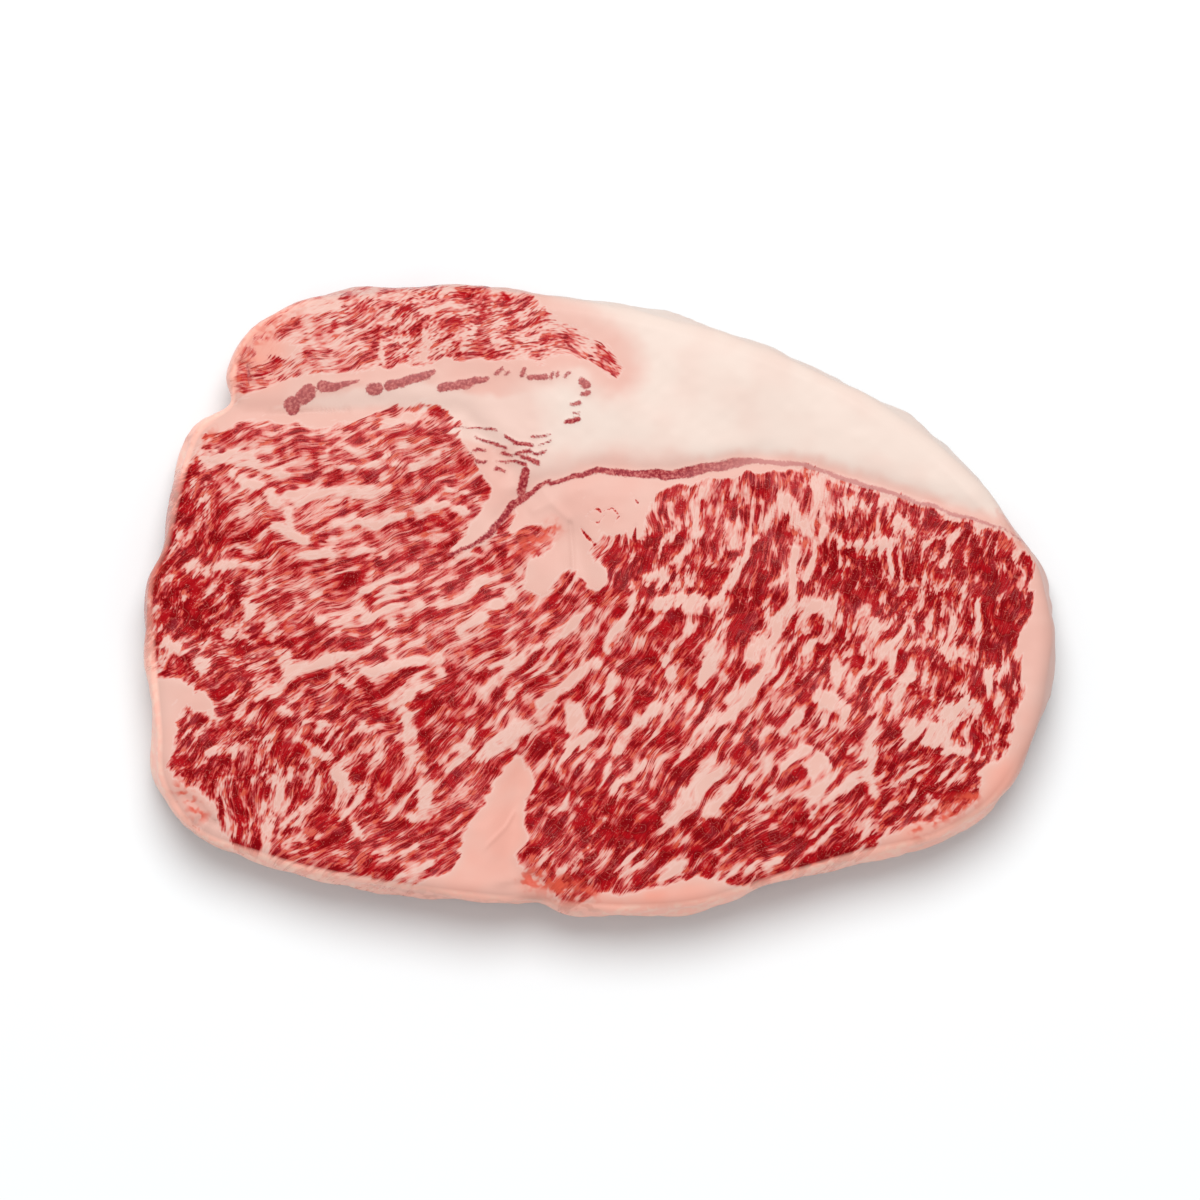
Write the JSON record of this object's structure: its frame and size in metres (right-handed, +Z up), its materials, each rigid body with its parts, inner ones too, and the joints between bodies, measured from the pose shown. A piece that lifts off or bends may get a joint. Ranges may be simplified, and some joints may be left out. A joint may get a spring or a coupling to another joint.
{
  "type": "raw marbled rib-eye beef steak",
  "caption": "Thick raw beef steak, one solid slice with a flat underside, a trimmed outline, shallow seams between its muscles and a broad fat kernel at one side.",
  "frame": {"origin": "middle of the box round the slice, on its flat underside", "axes": "+Z up out of the upper cut face, +X along the slice's length, +Y across it towards the cap muscle and the fat kernel"},
  "size_m": [0.1824, 0.1266, 0.0214],
  "materials": {
    "raw_beef": "moist raw meat: crimson lean with cream and pink fat"
  },
  "bodies": {
    "root": {"steak": "raw_beef"}
  },
  "joints": []
}
